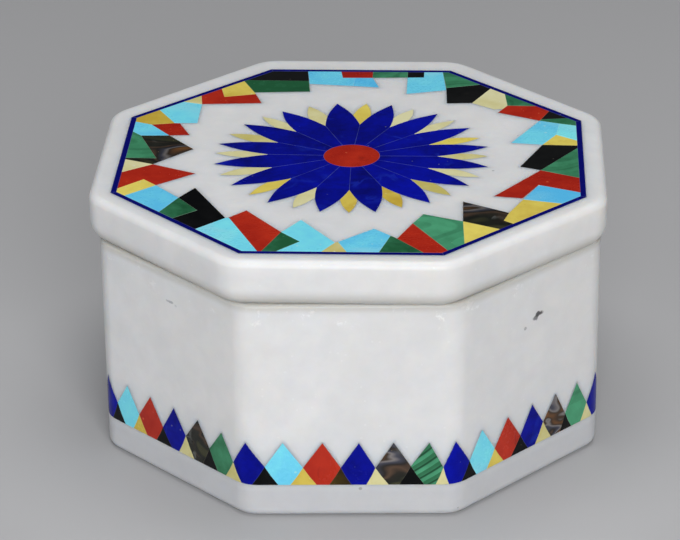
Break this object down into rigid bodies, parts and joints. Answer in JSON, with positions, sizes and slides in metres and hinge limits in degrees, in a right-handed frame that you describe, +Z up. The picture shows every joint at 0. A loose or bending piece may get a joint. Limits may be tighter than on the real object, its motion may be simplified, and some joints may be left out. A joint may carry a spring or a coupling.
{
  "type": "inlaid stone box",
  "caption": "Octagonal marble box with an overhanging lift-off lid, inlaid with a petalled rosette, a mosaic border and a frieze of stone diamonds.",
  "frame": {"origin": "centre of the underside", "axes": "+Z up through the lid, -Y towards the front face, +X to the right of the front face"},
  "size_m": [0.1295, 0.1313, 0.0692],
  "materials": {
    "marble": "polished white marble with faint grey clouding",
    "lapis": "polished deep blue stone with fine gold and white flecks",
    "coral": "polished red stone",
    "turquoise": "polished sky blue stone",
    "malachite": "polished banded green stone",
    "onyx": "polished black stone",
    "ochre": "polished yellow stone",
    "pale_yellow": "polished pale yellow stone",
    "abalone": "polished dark iridescent shell",
    "mixed_inlay": "joined polished stones of several colours"
  },
  "bodies": {
    "box": {"box_body": "marble", "frieze_right": "mixed_inlay", "frieze_back_right": "mixed_inlay", "frieze_back": "mixed_inlay", "frieze_back_left": "mixed_inlay", "frieze_left": "mixed_inlay", "frieze_front_left": "mixed_inlay", "frieze_front": "mixed_inlay", "frieze_front_right": "mixed_inlay", "corner_stone_1": "lapis", "corner_stone_2": "lapis", "corner_stone_3": "lapis", "corner_stone_4": "lapis", "corner_stone_5": "lapis", "corner_stone_6": "lapis", "corner_stone_7": "lapis", "corner_stone_8": "lapis"},
    "lid": {"lid": "marble", "border_line": "lapis", "rosette_disc": "coral", "petal_1": "lapis", "petal_2": "lapis", "petal_3": "lapis", "petal_4": "lapis", "petal_5": "lapis", "petal_6": "lapis", "petal_7": "lapis", "petal_8": "lapis", "petal_9": "lapis", "petal_10": "lapis", "petal_11": "lapis", "petal_12": "lapis", "petal_13": "lapis", "petal_14": "lapis", "petal_15": "lapis", "petal_16": "lapis", "petal_tip_1": "ochre", "petal_tip_2": "ochre", "petal_tip_3": "ochre", "petal_tip_4": "ochre", "petal_tip_5": "ochre", "petal_tip_6": "ochre", "petal_tip_7": "ochre", "petal_tip_8": "ochre", "petal_tip_9": "ochre", "petal_tip_10": "ochre", "petal_tip_11": "ochre", "petal_tip_12": "ochre", "petal_tip_13": "ochre", "petal_tip_14": "ochre", "petal_tip_15": "ochre", "petal_tip_16": "ochre", "mosaic_front": "mixed_inlay", "mosaic_front_right": "mixed_inlay", "mosaic_right": "mixed_inlay", "mosaic_back_right": "mixed_inlay", "mosaic_back": "mixed_inlay", "mosaic_back_left": "mixed_inlay", "mosaic_left": "mixed_inlay", "mosaic_front_left": "mixed_inlay"}
  },
  "joints": [
    {"name": "lid_lift", "type": "slide", "parent": "box", "child": "lid", "axis": [0, 0, 1], "range_m": [0, 0.08]}
  ]
}
